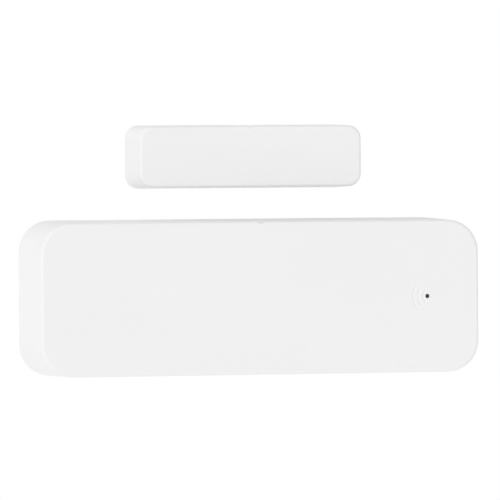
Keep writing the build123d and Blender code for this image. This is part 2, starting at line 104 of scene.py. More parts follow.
class Surface:
    """A material with one Principled shader and short calls for the nodes that feed it."""

    def __init__(self, name, **fixed):
        self.material = bpy.data.materials.new(name)
        self.material.use_nodes = True
        self.tree = self.material.node_tree
        self.shader = self.tree.nodes["Principled BSDF"]
        for socket, value in fixed.items():
            self.shader.inputs[socket.replace("_", " ")].default_value = value
        self.place = self.tree.nodes.new("ShaderNodeTexCoord").outputs["Object"]

    def node(self, kind, *inputs, **settings):
        """A node of this material, made as add_node does."""
        return add_node(self.tree, kind, inputs, settings)

    def feed(self, socket, value):
        """Sets or links a socket of one of this material's nodes."""
        feed_socket(self.tree, socket, value)

    def set(self, socket, value):
        """Sets or links an input of the Principled shader."""
        self.feed(self.shader.inputs[socket], value)

    def math(self, operation, *values):
        """The result of one operation on numbers."""
        return self.node("ShaderNodeMath", *values, operation=operation).outputs[0]

    def axis(self, name):
        """One coordinate of the place on the part, in metres."""
        return self.node("ShaderNodeSeparateXYZ", self.place).outputs[name]

    def facing(self, name):
        """One coordinate of the surface's direction."""
        geometry = self.node("ShaderNodeNewGeometry")
        return self.node("ShaderNodeSeparateXYZ", geometry.outputs["True Normal"]).outputs[name]

    def stretched(self, x=1.0, y=1.0, z=1.0):
        """The place, scaled along each axis, for patterns that are longer one way."""
        scaled = self.node("ShaderNodeVectorMath", self.place, (x, y, z), operation="MULTIPLY")
        return scaled.outputs[0]

    def noise(self, size_mm, detail=2.0, rough=0.5, place=None):
        """Even noise from 0 to 1 whose blotches are about size_mm across."""
        made = self.node("ShaderNodeTexNoise", place or self.place)
        made.inputs["Scale"].default_value = 1 / (size_mm * MM)
        made.inputs["Detail"].default_value = detail
        made.inputs["Roughness"].default_value = rough
        return made.outputs["Fac"]

    def cells(self, size_mm, place=None):
        """Distance from the nearest of scattered points about size_mm apart."""
        made = self.node("ShaderNodeTexVoronoi", place or self.place)
        made.inputs["Scale"].default_value = 1 / (size_mm * MM)
        return made.outputs["Distance"]

    def span(self, value, low, high, start=0.0, end=1.0):
        """A value from start to end mapped to low to high, held at both ends."""
        made = self.node("ShaderNodeMapRange", value, start, end, low, high)
        made.clamp = True
        return made.outputs["Result"]

    def spread(self, noise_value, low, high):
        """Noise mapped to low to high over the range that it mostly stays in."""
        return self.span(noise_value, low, high, 0.3, 0.7)

    def blend(self, factor, first, second):
        """One colour where factor is 0, the other where it is 1."""
        made = self.node("ShaderNodeMix", data_type="RGBA")
        self.feed(made.inputs["Factor"], factor)
        for socket, value in ((made.inputs[6], first), (made.inputs[7], second)):
            self.feed(socket, (*value, 1.0) if isinstance(value, tuple) else value)
        return made.outputs[2]

    def between(self, factor, first, second):
        """One number where factor is 0, the other where it is 1."""
        made = self.node("ShaderNodeMix", data_type="FLOAT")
        for socket, value in zip(made.inputs[:1] + made.inputs[2:4], (factor, first, second)):
            self.feed(socket, value)
        return made.outputs[0]

    def bump(self, height, depth_mm, strength=1.0, under=None):
        """Bumps of this depth from a height between 0 and 1, on top of others."""
        made = self.node("ShaderNodeBump")
        made.inputs["Strength"].default_value = strength
        made.inputs["Distance"].default_value = depth_mm * MM
        self.feed(made.inputs["Height"], height)
        if under is not None:
            self.feed(made.inputs["Normal"], under)
        return made.outputs["Normal"]

    def soft_edges(self, radius_mm):
        """Normals that round the part's sharp edges."""
        made = self.node("ShaderNodeBevel", radius_mm * MM)
        return made.outputs["Normal"]


def grey(value):
    """A colour with no hue."""
    return (value, value, value)


# -------------------- plastics
def moulded_white(name, tone, roughness, grain_mm, grain_depth_mm, edge_mm=None):
    """White ABS from a spark-eroded mould: fine even grain, faint flow marks and handling marks."""
    s = Surface(name, IOR=1.52)
    flow = s.noise(14.0, 3.0, 0.6, s.stretched(0.35, 1.0, 1.0))
    warm = s.blend(s.span(flow, 0.0, 1.0, 0.35, 0.65), grey(tone), grey(tone * 0.985))
    speck = s.span(s.noise(0.5), 0.0, 0.35, 0.4, 0.8)
    s.set("Base Color", s.blend(speck, warm, grey(tone * 0.97)))
    rubbed = s.spread(s.noise(6.0, 4.0, 0.65), -0.06, 0.05)
    grain = s.noise(grain_mm, 3.0, 0.6)
    fine = s.spread(grain, -0.05, 0.05)
    s.set("Roughness", s.math("ADD", s.math("ADD", rubbed, fine), roughness))
    under = None if edge_mm is None else s.soft_edges(edge_mm)
    waves = s.bump(s.noise(9.0, 1.0), 0.015, 0.4, under)
    s.set("Normal", s.bump(grain, grain_depth_mm, 0.6, waves))
    return s.material


def dark_plastic(name, colour, roughness, grain_mm, grain_depth_mm):
    """Dark moulded plastic with a satin grain, lighter worn patches and softened edges."""
    s = Surface(name, IOR=1.5)
    worn = s.span(s.noise(3.0, 4.0, 0.7), 0.0, 1.0, 0.45, 0.75)
    lighter = tuple(c * 1.9 + 0.01 for c in colour)
    s.set("Base Color", s.blend(worn, colour, lighter))
    grain = s.noise(grain_mm, 3.0, 0.6)
    s.set("Roughness", s.spread(grain, roughness - 0.08, roughness + 0.1))
    s.set("Normal", s.bump(grain, grain_depth_mm, 0.7, s.soft_edges(0.12)))
    return s.material


def clear_plastic():
    """Clear polycarbonate, slightly smoked, with faint clouds."""
    s = Surface("clear_polycarbonate", IOR=1.58, Transmission_Weight=1.0)
    s.set("Base Color", s.blend(s.noise(0.8), (0.30, 0.31, 0.32), (0.36, 0.37, 0.38)))
    s.set("Roughness", s.spread(s.noise(0.15), 0.06, 0.14))
    return s.material


def printed_sleeve(name, positive_x, inward):
    """Printed film round a cell: a pale band at the positive end, a fine line, then teal."""
    s = Surface(name, IOR=1.5, Coat_Weight=0.4, Coat_Roughness=0.12)
    along = s.math("MULTIPLY", s.math("SUBTRACT", s.axis("X"), positive_x), inward)
    body = s.math("GREATER_THAN", along, SLEEVE_BAND)
    off_rule = s.math("ABSOLUTE", s.math("SUBTRACT", along, SLEEVE_BAND))
    rule = s.math("LESS_THAN", off_rule, RULE_HALF)
    haze = s.noise(2.5, 4.0, 0.6)
    pale = s.blend(haze, (0.56, 0.57, 0.58), (0.62, 0.63, 0.64))
    teal = s.blend(haze, (0.018, 0.105, 0.130), (0.026, 0.130, 0.160))
    s.set("Base Color", s.blend(rule, s.blend(body, pale, teal), (0.85, 0.86, 0.86)))
    s.set("Metallic", s.span(body, 0.35, 0.0))
    s.set("Roughness", s.spread(s.noise(0.4, 4.0), 0.27, 0.33))
    s.set("Normal", s.bump(s.noise(1.8, 3.0, 0.6), 0.02, 0.5))
    return s.material


def capacitor_can(centre, top_y):
    """Aluminium can in a dark shrink sleeve with a pale stripe down its negative side."""
    s = Surface("capacitor_sleeve", IOR=1.5)
    dx = s.math("SUBTRACT", s.axis("X"), centre.x)
    dz = s.math("SUBTRACT", s.axis("Z"), centre.z)
    squares = s.math("ADD", s.math("MULTIPLY", dx, dx), s.math("MULTIPLY", dz, dz))
    off_axis = s.math("SQRT", squares)
    high = s.math("GREATER_THAN", s.axis("Y"), top_y - CAN_TOP_BARE)
    bare = s.math("MULTIPLY", high, s.math("LESS_THAN", off_axis, CAN_BARE_R))
    stripe = s.math("GREATER_THAN", dx, CAN_STRIPE_X)
    film = s.blend(stripe, (0.020, 0.022, 0.035), (0.50, 0.50, 0.50))
    s.set("Base Color", s.blend(bare, film, (0.78, 0.78, 0.79)))
    s.set("Metallic", bare)
    s.set("Roughness", s.spread(s.noise(0.08), 0.26, 0.42))
    s.set("Normal", s.bump(s.noise(0.5, 3.0), 0.008, 0.5, s.soft_edges(0.08)))
    return s.material


def ceramic(name, colour, fleck, roughness):
    """Fired ceramic with fine flecks."""
    s = Surface(name, IOR=1.6)
    flecks = s.span(s.noise(0.08, 4.0, 0.7), 0.0, 1.0, 0.4, 0.7)
    s.set("Base Color", s.blend(flecks, colour, fleck))
    s.set("Roughness", s.spread(s.noise(0.2), roughness - 0.06, roughness + 0.08))
    s.set("Normal", s.bump(s.noise(0.05, 3.0), 0.003, 0.6, s.soft_edges(0.05)))
    return s.material


def black_compound(s):
    """Colour and roughness of black moulding compound, whose fine grain is set as bumps."""
    grain = s.noise(0.05, 3.0, 0.6)
    black = s.blend(s.span(grain, 0.0, 1.0, 0.35, 0.7), grey(0.016), grey(0.030))
    s.set("Normal", s.bump(grain, 0.004, 0.7, s.soft_edges(0.06)))
    return black, s.spread(grain, 0.52, 0.66)


def chip_package(name, low, high):
    """Black moulding compound, with tinned legs wherever the part reaches past its body."""
    s = Surface(name, IOR=1.55)
    middle = (low + high) / 2
    reach = s.math("ABSOLUTE", s.math("SUBTRACT", s.axis("Z"), middle.z))
    legs = s.math("GREATER_THAN", reach, (high.z - low.z) / 2 - CHIP_LEG + CHIP_LEG_START)
    black, rough = black_compound(s)
    s.set("Base Color", s.blend(legs, black, (0.62, 0.61, 0.59)))
    s.set("Metallic", legs)
    s.set("Roughness", s.between(legs, rough, 0.30))
    return s.material


def epoxy_black():
    """Black moulding compound."""
    s = Surface("moulding_compound", IOR=1.55)
    black, rough = black_compound(s)
    s.set("Base Color", black)
    s.set("Roughness", rough)
    return s.material


def circuit_board():
    """Green solder mask over glass cloth; bare laminate shows on the cut edges."""
    s = Surface("board_laminate", IOR=1.5)
    weave_x = s.noise(0.5, 1.0, 0.5, s.stretched(0.12, 1.0, 1.0))
    weave_z = s.noise(0.5, 1.0, 0.5, s.stretched(1.0, 1.0, 0.12))
    weave = s.math("MULTIPLY", s.math("ADD", weave_x, weave_z), 0.5)
    raised = s.span(weave, 0.0, 1.0, 0.35, 0.65)
    mask = s.blend(raised, (0.010, 0.088, 0.036), (0.014, 0.110, 0.048))
    fibres = s.noise(0.12, 3.0, 0.6, s.stretched(0.2, 1.6, 0.2))
    bare = s.blend(fibres, (0.40, 0.36, 0.20), (0.56, 0.52, 0.34))
    face = s.math("GREATER_THAN", s.math("ABSOLUTE", s.facing("Y")), 0.7)
    s.set("Base Color", s.blend(face, bare, mask))
    s.set("Roughness", s.between(face, 0.75, s.spread(s.noise(0.6, 3.0), 0.22, 0.34)))
    s.set("Normal", s.bump(weave, 0.012, 0.5))
    return s.material


def mask_over_copper():
    """Solder mask over copper: lighter than over the laminate, with softened edges."""
    s = Surface("mask_over_copper", IOR=1.5)
    cloud = s.noise(0.7, 3.0)
    s.set("Base Color", s.blend(cloud, (0.030, 0.170, 0.062), (0.040, 0.200, 0.078)))
    s.set("Roughness", s.spread(cloud, 0.20, 0.32))
    s.set("Normal", s.bump(cloud, 0.006, 0.5, s.soft_edges(0.02)))
    return s.material


def silkscreen_ink():
    """White marking ink, a little thin and uneven."""
    s = Surface("silkscreen_ink", IOR=1.5)
    thin = s.noise(0.12, 4.0, 0.7)
    worn = s.span(thin, 0.0, 1.0, 0.3, 0.75)
    s.set("Base Color", s.blend(worn, grey(0.80), (0.60, 0.66, 0.61)))
    s.set("Roughness", s.spread(thin, 0.5, 0.65))
    s.set("Normal", s.bump(thin, 0.004, 0.6))
    return s.material


def solder():
    """Tin solder with a bright, slightly frosted skin."""
    s = Surface("solder", Metallic=1.0)
    frost = s.noise(0.10, 4.0, 0.65)
    s.set("Base Color", s.blend(frost, (0.66, 0.66, 0.67), (0.80, 0.80, 0.80)))
    s.set("Roughness", s.spread(frost, 0.14, 0.34))
    s.set("Normal", s.bump(frost, 0.006, 0.6))
    return s.material


def tube_glass():
    """Thin green-tinted glass of the reed switch."""
    s = Surface("reed_tube_glass", IOR=1.5, Transmission_Weight=1.0)
    s.set("Base Color", s.blend(s.noise(2.0), (0.80, 0.95, 0.86), (0.88, 0.98, 0.92)))
    s.set("Roughness", s.spread(s.noise(0.3), 0.02, 0.05))
    return s.material


def lamp_body(lens_y):
    """Milky lens in front of a white ceramic body."""
    s = Surface("lamp_body", IOR=1.5)
    lens = s.math("LESS_THAN", s.axis("Y"), lens_y)
    speck = s.noise(0.06, 3.0)
    body = s.blend(speck, (0.78, 0.77, 0.74), (0.86, 0.85, 0.82))
    s.set("Base Color", s.blend(lens, body, (0.80, 0.76, 0.52)))
    s.set("Roughness", s.between(lens, s.spread(speck, 0.45, 0.6), 0.18))
    s.set("Normal", s.bump(speck, 0.003, 0.5, s.soft_edges(0.04)))
    return s.material


def foam_core(name):
    """Closed-cell foam between two clear adhesive films: pores on its cut edge, each darkened by
    painted shade in its hollow.
    """
    s = Surface(name, IOR=1.45)
    film = s.math("GREATER_THAN", s.math("ABSOLUTE", s.facing("Y")), 0.8)
    pores = s.cells(0.16, s.stretched(1.0, 1.3, 1.0))
    pore_and_painted_shade = s.span(pores, 1.0, 0.0, 0.15, 0.5)
    # the darker colour in each pore is painted shade in its hollow; the same mask gives the pore's
    # real dip as a bump below
    core = s.blend(pore_and_painted_shade, (0.80, 0.80, 0.78), (0.50, 0.50, 0.48))
    cloud = s.noise(4.0, 5.0, 0.6)
    patchy = s.span(cloud, 0.0, 1.0, 0.35, 0.65)
    glue = s.blend(patchy, (0.715, 0.715, 0.71), (0.75, 0.75, 0.747))
    s.set("Base Color", s.blend(film, core, glue))
    tack = s.noise(0.5, 4.0, 0.6)
    s.set("Roughness", s.between(film, 0.88, s.spread(tack, 0.30, 0.52)))
    dimples = s.between(film, pore_and_painted_shade, s.math("MULTIPLY", tack, 0.5))
    s.set("Normal", s.bump(dimples, 0.05, 0.7))
    return s.material


def cell_mass():
    """Packed dark mix inside a cell."""
    s = Surface("cell_mass", IOR=1.5)
    grains = s.cells(0.35)
    s.set("Base Color", s.blend(grains, grey(0.03), grey(0.10)))
    s.set("Roughness", s.spread(s.noise(0.3), 0.75, 0.95))
    s.set("Normal", s.bump(grains, 0.05, 0.8))
    return s.material


# -------------------- metals
def plated_metal(name, colour, tint, roughness, brush=(1.0, 1.0, 1.0), depth_mm=0.002):
    """Plated sheet or wire: fine rolling lines along one direction and cloudy oxidation."""
    s = Surface(name, Metallic=1.0)
    cloud = s.span(s.noise(1.6, 4.0, 0.6), 0.0, 1.0, 0.35, 0.7)
    s.set("Base Color", s.blend(cloud, colour, tint))
    lines = s.noise(0.12, 3.0, 0.6, s.stretched(*brush))
    rough = s.spread(lines, roughness - 0.07, roughness + 0.1)
    s.set("Roughness", s.math("ADD", rough, s.span(cloud, 0.0, 0.08)))
    s.set("Normal", s.bump(lines, depth_mm, 0.6, s.soft_edges(0.05)))
    return s.material


# -------------------- the finished materials
SLEEVE_BAND = 10.5 * MM  # length of the pale band at a cell's positive end
RULE_HALF = 0.3 * MM  # half width of the fine line that ends it
CAN_TOP_BARE = 0.25 * MM  # the capacitor's bare top: its depth and radius
CAN_BARE_R = 2.15 * MM
CAN_STRIPE_X = 2.25 * MM  # from the capacitor's axis to its stripe
CHIP_LEG = 0.9 * MM  # how far a chip's legs reach past its body
CHIP_LEG_START = 0.01 * MM  # keeps the body's own end face black
LED_BODY_T = 0.4 * MM

shell_white = moulded_white("shell_abs", 0.872, 0.46, 0.09, 0.006)
plate_white = moulded_white("plate_abs", 0.80, 0.55, 0.16, 0.012, 0.15)
tray_black = dark_plastic("tray_abs", (0.030, 0.030, 0.033), 0.5, 0.12, 0.01)
switch_black = dark_plastic("switch_nylon", (0.022, 0.022, 0.022), 0.45, 0.08, 0.005)
plunger_red = dark_plastic("plunger_nylon", (0.36, 0.030, 0.022), 0.38, 0.08, 0.004)
screw_zinc = plated_metal("zinc_plate", (0.56, 0.57, 0.60), (0.66, 0.65, 0.60), 0.30)
shield_tin = plated_metal("tin_plate", (0.64, 0.64, 0.63), (0.74, 0.74, 0.73), 0.34, (0.06, 1, 1))
contact_nickel = plated_metal(
    "nickel_plate", (0.62, 0.60, 0.56), (0.72, 0.70, 0.66), 0.24, (1, 0.08, 1)
)
can_nickel = plated_metal("can_steel", (0.58, 0.58, 0.57), (0.70, 0.70, 0.68), 0.27, (0.1, 1, 1))
reed_alloy = plated_metal("reed_alloy", (0.60, 0.56, 0.50), (0.70, 0.66, 0.58), 0.28, (0.1, 1, 1))
antenna_wire = plated_metal("phosphor_bronze", (0.72, 0.47, 0.22), (0.82, 0.58, 0.32), 0.26)
magnet_nickel = plated_metal(
    "magnet_plate", (0.52, 0.52, 0.52), (0.62, 0.62, 0.62), 0.33, (0.3, 1, 1), 0.004
)
pad_gold = plated_metal("pad_gold", (0.80, 0.60, 0.26), (0.88, 0.70, 0.38), 0.25)
board_green = circuit_board()
track_green = mask_over_copper()
marking = silkscreen_ink()
tin_solder = solder()
chip_black = epoxy_black()
capacitor_tan = ceramic("capacitor_body", (0.42, 0.30, 0.18), (0.52, 0.39, 0.25), 0.4)
resistor_black = ceramic("resistor_body", (0.020, 0.020, 0.026), (0.045, 0.045, 0.055), 0.35)


def dress(material, *names):
    """Gives CAD nodes their finished material."""
    for name in names:
        node = nodes[name]
        node.data.materials.clear()
        node.data.materials.append(material)


dress(shell_white, "front_shell", "magnet_housing")
dress(plate_white, "wall_plate", "magnet_cover")
dress(clear_plastic(), "light_pipe")
dress(tray_black, "battery_tray")
dress(board_green, "main_pcb", "radio_board")
dress(screw_zinc, "pcb_screws")
for chip in ("memory_chip", "regulator_chip"):
    dress(chip_package(f"{chip}_package", *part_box(chip)), chip)
dress(chip_black, "radio_chip")
dress(capacitor_tan, "chip_capacitors")
dress(resistor_black, "chip_resistors")
dress(lamp_body(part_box("status_led")[1].y - LED_BODY_T), "status_led")
dress(tube_glass(), "reed_glass")
dress(reed_alloy, "reed_blade_left", "reed_blade_right")
dress(shield_tin, "radio_shield", "crystal", "button_frame")
dress(antenna_wire, "helical_antenna")
dress(switch_black, "button_base")
dress(plunger_red, "pairing_button")
dress(contact_nickel, "negative_spring", "positive_contact", "link_contact")
dress(can_nickel, "cell_a_can", "cell_b_can")
dress(cell_mass(), "cell_a_core", "cell_b_core")
dress(magnet_nickel, "bar_magnet")

can_low, can_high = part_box("reservoir_capacitor")
can_axis = (can_low + can_high) / 2
dress(capacitor_can(can_axis, can_high.y), "reservoir_capacitor")

# each cell: its sleeve's box, the X of its positive end, and the way inward from there
CELLS = {}
for cell, inward in (("cell_a", 1), ("cell_b", -1)):
    sleeve_low, sleeve_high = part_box(f"{cell}_sleeve")
    end_x = sleeve_low.x if inward == 1 else sleeve_high.x
    CELLS[cell] = (sleeve_low, sleeve_high, end_x, inward)
    dress(printed_sleeve(f"{cell}_film", end_x, inward), f"{cell}_sleeve")


# -------------------- mesh building
# From here to the stage, lengths are in millimetres; add_piece turns them into metres.
CORNER_STEPS = 8
ARC_STEPS = 6
CREASE = 35.0  # degrees
MITRE_LIMIT = 0.3  # keeps sharp corners of a track from running far out


def rounded_outline(width, height, radius):
    """Points of a rounded rectangle about the origin, anticlockwise."""
    points = []
    for quarter, (side_x, side_z) in enumerate(((1, 1), (-1, 1), (-1, -1), (1, -1))):
        for step in range(CORNER_STEPS + 1):
            angle = math.radians(90 * (quarter + step / CORNER_STEPS))
            x = side_x * (width / 2 - radius) + radius * math.cos(angle)
            z = side_z * (height / 2 - radius) + radius * math.sin(angle)
            points.append((x, z))
    return points


def round_outline(x, z, radius, steps=20):
    """Points of a circle."""
    turns = [2 * math.pi * i / steps for i in range(steps)]
    return [(x + radius * math.cos(t), z + radius * math.sin(t)) for t in turns]


def box_outline(x0, x1, z0, z1):
    """Points of a rectangle."""
    return [(x0, z0), (x1, z0), (x1, z1), (x0, z1)]


def track_outline(points, width):
    """Outline of a band of this width along a line, with mitred corners."""
    left, right = [], []
    for i, point in enumerate(points):
        here = Vector(point)
        into = here - Vector(points[i - 1]) if i else Vector(points[1]) - here
        out = Vector(points[i + 1]) - here if i + 1 < len(points) else into
        into, out = into.normalized(), out.normalized()
        along = (into + out).normalized()
        side = Vector((-along.y, along.x)) * (width / 2 / max(along.dot(into), MITRE_LIMIT))
        left.append(tuple(here + side))
        right.append(tuple(here - side))
    return right + left[::-1]


def add_loops(bm, loops, closed=False):
    """Skins a stack of point loops; the first and last are capped unless the stack is closed."""
    rings = [[bm.verts.new(p) for p in loop] for loop in loops]
    count = len(rings[0])
    pairs = list(zip(rings, rings[1:]))
    if closed:
        pairs.append((rings[-1], rings[0]))
    for lower, upper in pairs:
        for i in range(count):
            j = (i + 1) % count
            bm.faces.new((lower[i], lower[j], upper[j], upper[i]))
    if not closed:
        bm.faces.new(rings[0][::-1])
        bm.faces.new(rings[-1])


def add_prism(bm, outline, y0, y1):
    """An outline in X and Z made solid from y0 to y1, in millimetres."""
    add_loops(bm, [[(x, y, z) for x, z in outline] for y in (y0, y1)])


def add_ring(bm, x, z, inner, outer, y0, y1):
    """A flat ring about an axis along Y."""
    corners = ((inner, y0), (outer, y0), (outer, y1), (inner, y1))
    loops = []
    for radius, y in corners:
        loops.append([(px, y, pz) for px, pz in round_outline(x, z, radius)])
    add_loops(bm, loops, closed=True)


def add_turned(bm, x, z, profile, stretch=(1.0, 1.0), steps=20):
    """A solid of revolution about Y from (radius, y) pairs, stretched along X and Z."""
    loops = []
    for radius, y in profile:
        circle = round_outline(0, 0, radius, steps)
        loops.append([(x + px * stretch[0], y, z + pz * stretch[1]) for px, pz in circle])
    add_loops(bm, loops)


def add_block(bm, low, high, bevel):
    """A block between two corners with rounded edges."""
    made = bmesh.ops.create_cube(bm, size=1.0)["verts"]
    size = Vector(high) - Vector(low)
    centre = (Vector(low) + Vector(high)) / 2
    for vert in made:
        vert.co = Vector((vert.co.x * size.x, vert.co.y * size.y, vert.co.z * size.z)) + centre
    edges = {edge for vert in made for edge in vert.link_edges}
    bmesh.ops.bevel(bm, geom=list(edges), offset=bevel, segments=2, affect="EDGES")


def add_arc_patch(bm, x0, x1, turn0, turn1, radius, thickness, axis_y, axis_z):
    """A thin plate that follows a cylinder along X; a turn of 0 faces +Y."""
    outer = radius + thickness
    sections = []
    for i in range(ARC_STEPS + 1):
        turn = math.radians(turn0 + (turn1 - turn0) * i / ARC_STEPS)
        section = []
        for x, r in ((x0, radius), (x1, radius), (x1, outer), (x0, outer)):
            section.append((x, axis_y + r * math.cos(turn), axis_z + r * math.sin(turn)))
        sections.append(section)
    add_loops(bm, sections)


def add_piece(name, bm, body, material):
    """Makes the mesh, drawn in millimetres, into a piece that rides on a body."""
    bmesh.ops.scale(bm, vec=(MM, MM, MM), verts=bm.verts)
    bmesh.ops.recalc_face_normals(bm, faces=bm.faces)
    mesh = bpy.data.meshes.new(name)
    bm.to_mesh(mesh)
    bm.free()
    mesh.shade_smooth()
    mesh.set_sharp_from_angle(angle=math.radians(CREASE))
    mesh.materials.append(material)
    piece = bpy.data.objects.new(name, mesh)
    bpy.context.scene.collection.objects.link(piece)
    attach(piece, body)
    return piece


def box_mm(name):
    """A CAD node's box in millimetres."""
    low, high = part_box(name)
    return low / MM, high / MM


def separate_boxes(name):
    """Box in millimetres of each separate solid in a CAD node."""
    bm = bmesh.new()
    bm.from_mesh(nodes[name].data)
    bmesh.ops.remove_doubles(bm, verts=bm.verts, dist=0.001 * MM)
    waiting = set(bm.verts)
    found = []
    while waiting:
        group, edge = set(), {waiting.pop()}
        while edge:
            vert = edge.pop()
            group.add(vert)
            near = {e.other_vert(vert) for e in vert.link_edges}
            edge |= near - group
        waiting -= group
        low = Vector(min(v.co[k] for v in group) for k in range(3))
        high = Vector(max(v.co[k] for v in group) for k in range(3))
        found.append((low / MM, high / MM))
    bm.free()
    return sorted(found, key=lambda pair: tuple(round(c, 3) for c in pair[0]))


# -------------------- foam tape
FILM_T = 0.07
FOAM_RINGS = 5  # between the two films
FOAM_SPACING = 0.25  # of the points along the outline
FOAM_PULL_IN = 0.07
FOAM_ROUGH = 0.05
TEAR_SCALE = 3.0  # how closely the tears follow each other,
TEAR_SQUASH = 2.5  # and how much more closely through the thickness


def foam_pad(name, node, radius, body):
    """Die-cut foam tape: the foam's cut edge is drawn in between its two films and is torn open."""
    low, high = box_mm(node)
    width, height = high.x - low.x, high.z - low.z
    centre = (low + high) / 2
    outline = []
    corners = rounded_outline(width, height, radius)
    for (x0, z0), (x1, z1) in zip(corners, corners[1:] + corners[:1]):
        parts = max(1, round(math.hypot(x1 - x0, z1 - z0) / FOAM_SPACING))
        outline += [(x0 + (x1 - x0) * i / parts, z0 + (z1 - z0) * i / parts) for i in range(parts)]
    thickness = high.y - low.y
    film = FILM_T / thickness
    depths = [0.0, film]
    depths += [film + (1 - 2 * film) * (i + 1) / (FOAM_RINGS + 1) for i in range(FOAM_RINGS)]
    depths += [1 - film, 1.0]
    loops = []
    for depth in depths:
        waist = math.sin(math.pi * depth)
        ring = []
        for x, z in outline:
            y = low.y + thickness * depth
            place = Vector((x, y * TEAR_SQUASH, z)) * TEAR_SCALE
            torn = noise.noise(place) * FOAM_ROUGH * waist
            inset = FOAM_PULL_IN * waist + abs(torn)
            shrink_x = 1 - 2 * inset / width
            shrink_z = 1 - 2 * inset / height
            ring.append((centre.x + x * shrink_x, y, centre.z + z * shrink_z))
        loops.append(ring)
    bm = bmesh.new()
    add_loops(bm, loops)
    piece = add_piece(name, bm, body, foam_core(f"{name}_foam"))
    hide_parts(node)


foam_pad("sensor_foam_tape", "sensor_adhesive_pad", 2.0, WALL)
foam_pad("magnet_foam_tape", "magnet_adhesive_pad", 1.2, MAGNET)


# -------------------- main board
# thicknesses and widths of what is printed or plated on the board
COPPER_T = 0.035
INK_T = 0.02
INK_W = 0.14
TRACK_W = 0.25
POWER_W = 0.5
VIA_IN = 0.15
VIA_OUT = 0.32
VIA_T = COPPER_T * 1.4
PAD_LIFT = COPPER_T * 0.2

# the radio board's rows of pins, and where the tracks out of them start and end
PIN_PITCH = 1.27
PINS_PER_SIDE = 8
FIRST_PIN_UP = 1.0
PIN_TRACK_OUT = 0.4
NEAR_COLUMN = 1.4
FAR_COLUMN = 2.1

# the copper rails inside the board's right and lower edges, and what lies along them
RAIL_IN = 0.9
RAIL_UP = 1.1
TEST_POINT_PITCH = 1.8
STITCH_PITCH = 1.7
STITCH_COUNT = 5

# places and sizes at single parts
ANTENNA_FOOT_IN = 0.3
SWITCH_LEG_IN = 0.65
SWITCH_VIA = (1.3, 2.3)  # from the leg that its track leaves
BLADE_END_IN = 0.25
SCREW_LAND_R = 1.9
TEST_POINT_R = 0.55
TEST_RING_R = 0.68
CAPACITOR_RING_R = 2.78
CHIP_TRACK_IN = 0.4
REED_TRACK_IN = 2.2
REED_VIA_Z = 1.5

board_low, board_high = box_mm("main_pcb")
BACK = board_high.y
FRONT = board_low.y
radio_low, radio_high = box_mm("radio_board")
switch_low, switch_high = box_mm("button_base")
antenna_low, antenna_high = box_mm("helical_antenna")
store_low, store_high = box_mm("reservoir_capacitor")
store = (store_low + store_high) / 2
blade_low, blade_high = box_mm("reed_blade_right")
blade_end_x = blade_high.x - BLADE_END_IN
screw_boxes = separate_boxes("pcb_screws")
screws = [(low + high) / 2 for low, high in screw_boxes]
foot = Vector((antenna_high.x - ANTENNA_FOOT_IN, 0, antenna_low.z + ANTENNA_FOOT_IN))
pin_rows = [radio_low.z + FIRST_PIN_UP + PIN_PITCH * i for i in range(PINS_PER_SIDE)]
pin_tracks_x = radio_high.x + PIN_TRACK_OUT
rail_x = board_high.x - RAIL_IN
rail_z = board_low.z + RAIL_UP
test_points = [(store.x + TEST_POINT_PITCH * i, rail_z) for i in (-1, 0, 1)]

# each leg of the switch: where it leaves the base, in X and Z, and its way out along Z
switch_pads = [
    (x, z, way)
    for z, way in ((switch_low.z, -1), (switch_high.z, 1))
    for x in (switch_low.x + SWITCH_LEG_IN, switch_high.x - SWITCH_LEG_IN)
]

# each chip capacitor and resistor: its box, and the axis that it is long in (0 is X, 2 is Z)
chip_parts = [
    (low, high, 2 if high.z - low.z > high.x - low.x else 0)
    for node in ("chip_capacitors", "chip_resistors")
    for low, high in separate_boxes(node)
]


def layer(bm, outlines, front, lift, thickness):
    """Flat shapes on one side of the board, lying lift above it."""
    for outline in outlines:
        if front:
            add_prism(bm, outline, FRONT - lift - thickness, FRONT - lift)
        else:
            add_prism(bm, outline, BACK + lift, BACK + lift + thickness)


def pin_vias():
    """Vias that end the radio board's signal tracks, in two staggered columns."""
    return [
        (pin_tracks_x + (NEAR_COLUMN if i % 2 else FAR_COLUMN), z)
        for i, z in enumerate(pin_rows[1:6])
    ]


def back_tracks():
    """Copper tracks on the battery side, in the corner that the tray leaves open."""
    right = pin_tracks_x
    feed_z = pin_rows[0]
    feed = [(right, feed_z), (right + 0.8, feed_z), (right + 1.8, feed_z - 1.0),
            (right + 1.8, foot.z + 2.5), (foot.x - 0.8, foot.z), (foot.x, foot.z)]
    tracks = [track_outline(feed, POWER_W)]
    for end, z in pin_vias():
        tracks.append(track_outline([(right, z), (end, z)], TRACK_W))

    left = radio_low.x - PIN_TRACK_OUT
    x, z = switch_pads[2][:2]
    to_radio = [(x, z), (x, z + 1.2), (left, z + 1.2 + x - left), (left, pin_rows[1])]
    tracks.append(track_outline(to_radio, TRACK_W))
    x, z = switch_pads[3][:2]
    to_via = [(x, z), (x, z + 1.0), (x + SWITCH_VIA[0], z + SWITCH_VIA[1])]
    tracks.append(track_outline(to_via, TRACK_W))
    x, z = switch_pads[1][:2]
    to_rail = [(x, z), (x + 1.0, z - 1.0), (x + 1.5, rail_z), (test_points[0][0], rail_z)]
    tracks.append(track_outline(to_rail, TRACK_W))

    for i in (2, 1):
        x = test_points[i][0]
        tracks.append(track_outline([(x, rail_z), (x, store.z)], POWER_W))
    side_rail = [(rail_x, foot.z + 2.0), (rail_x, screws[1].z - 2.6),
                 (rail_x - 0.6, screws[1].z - 2.0)]
    tracks.append(track_outline(side_rail, POWER_W))
    for screw in screws:
        tracks.append(round_outline(screw.x, screw.z, SCREW_LAND_R, 32))
    return tracks


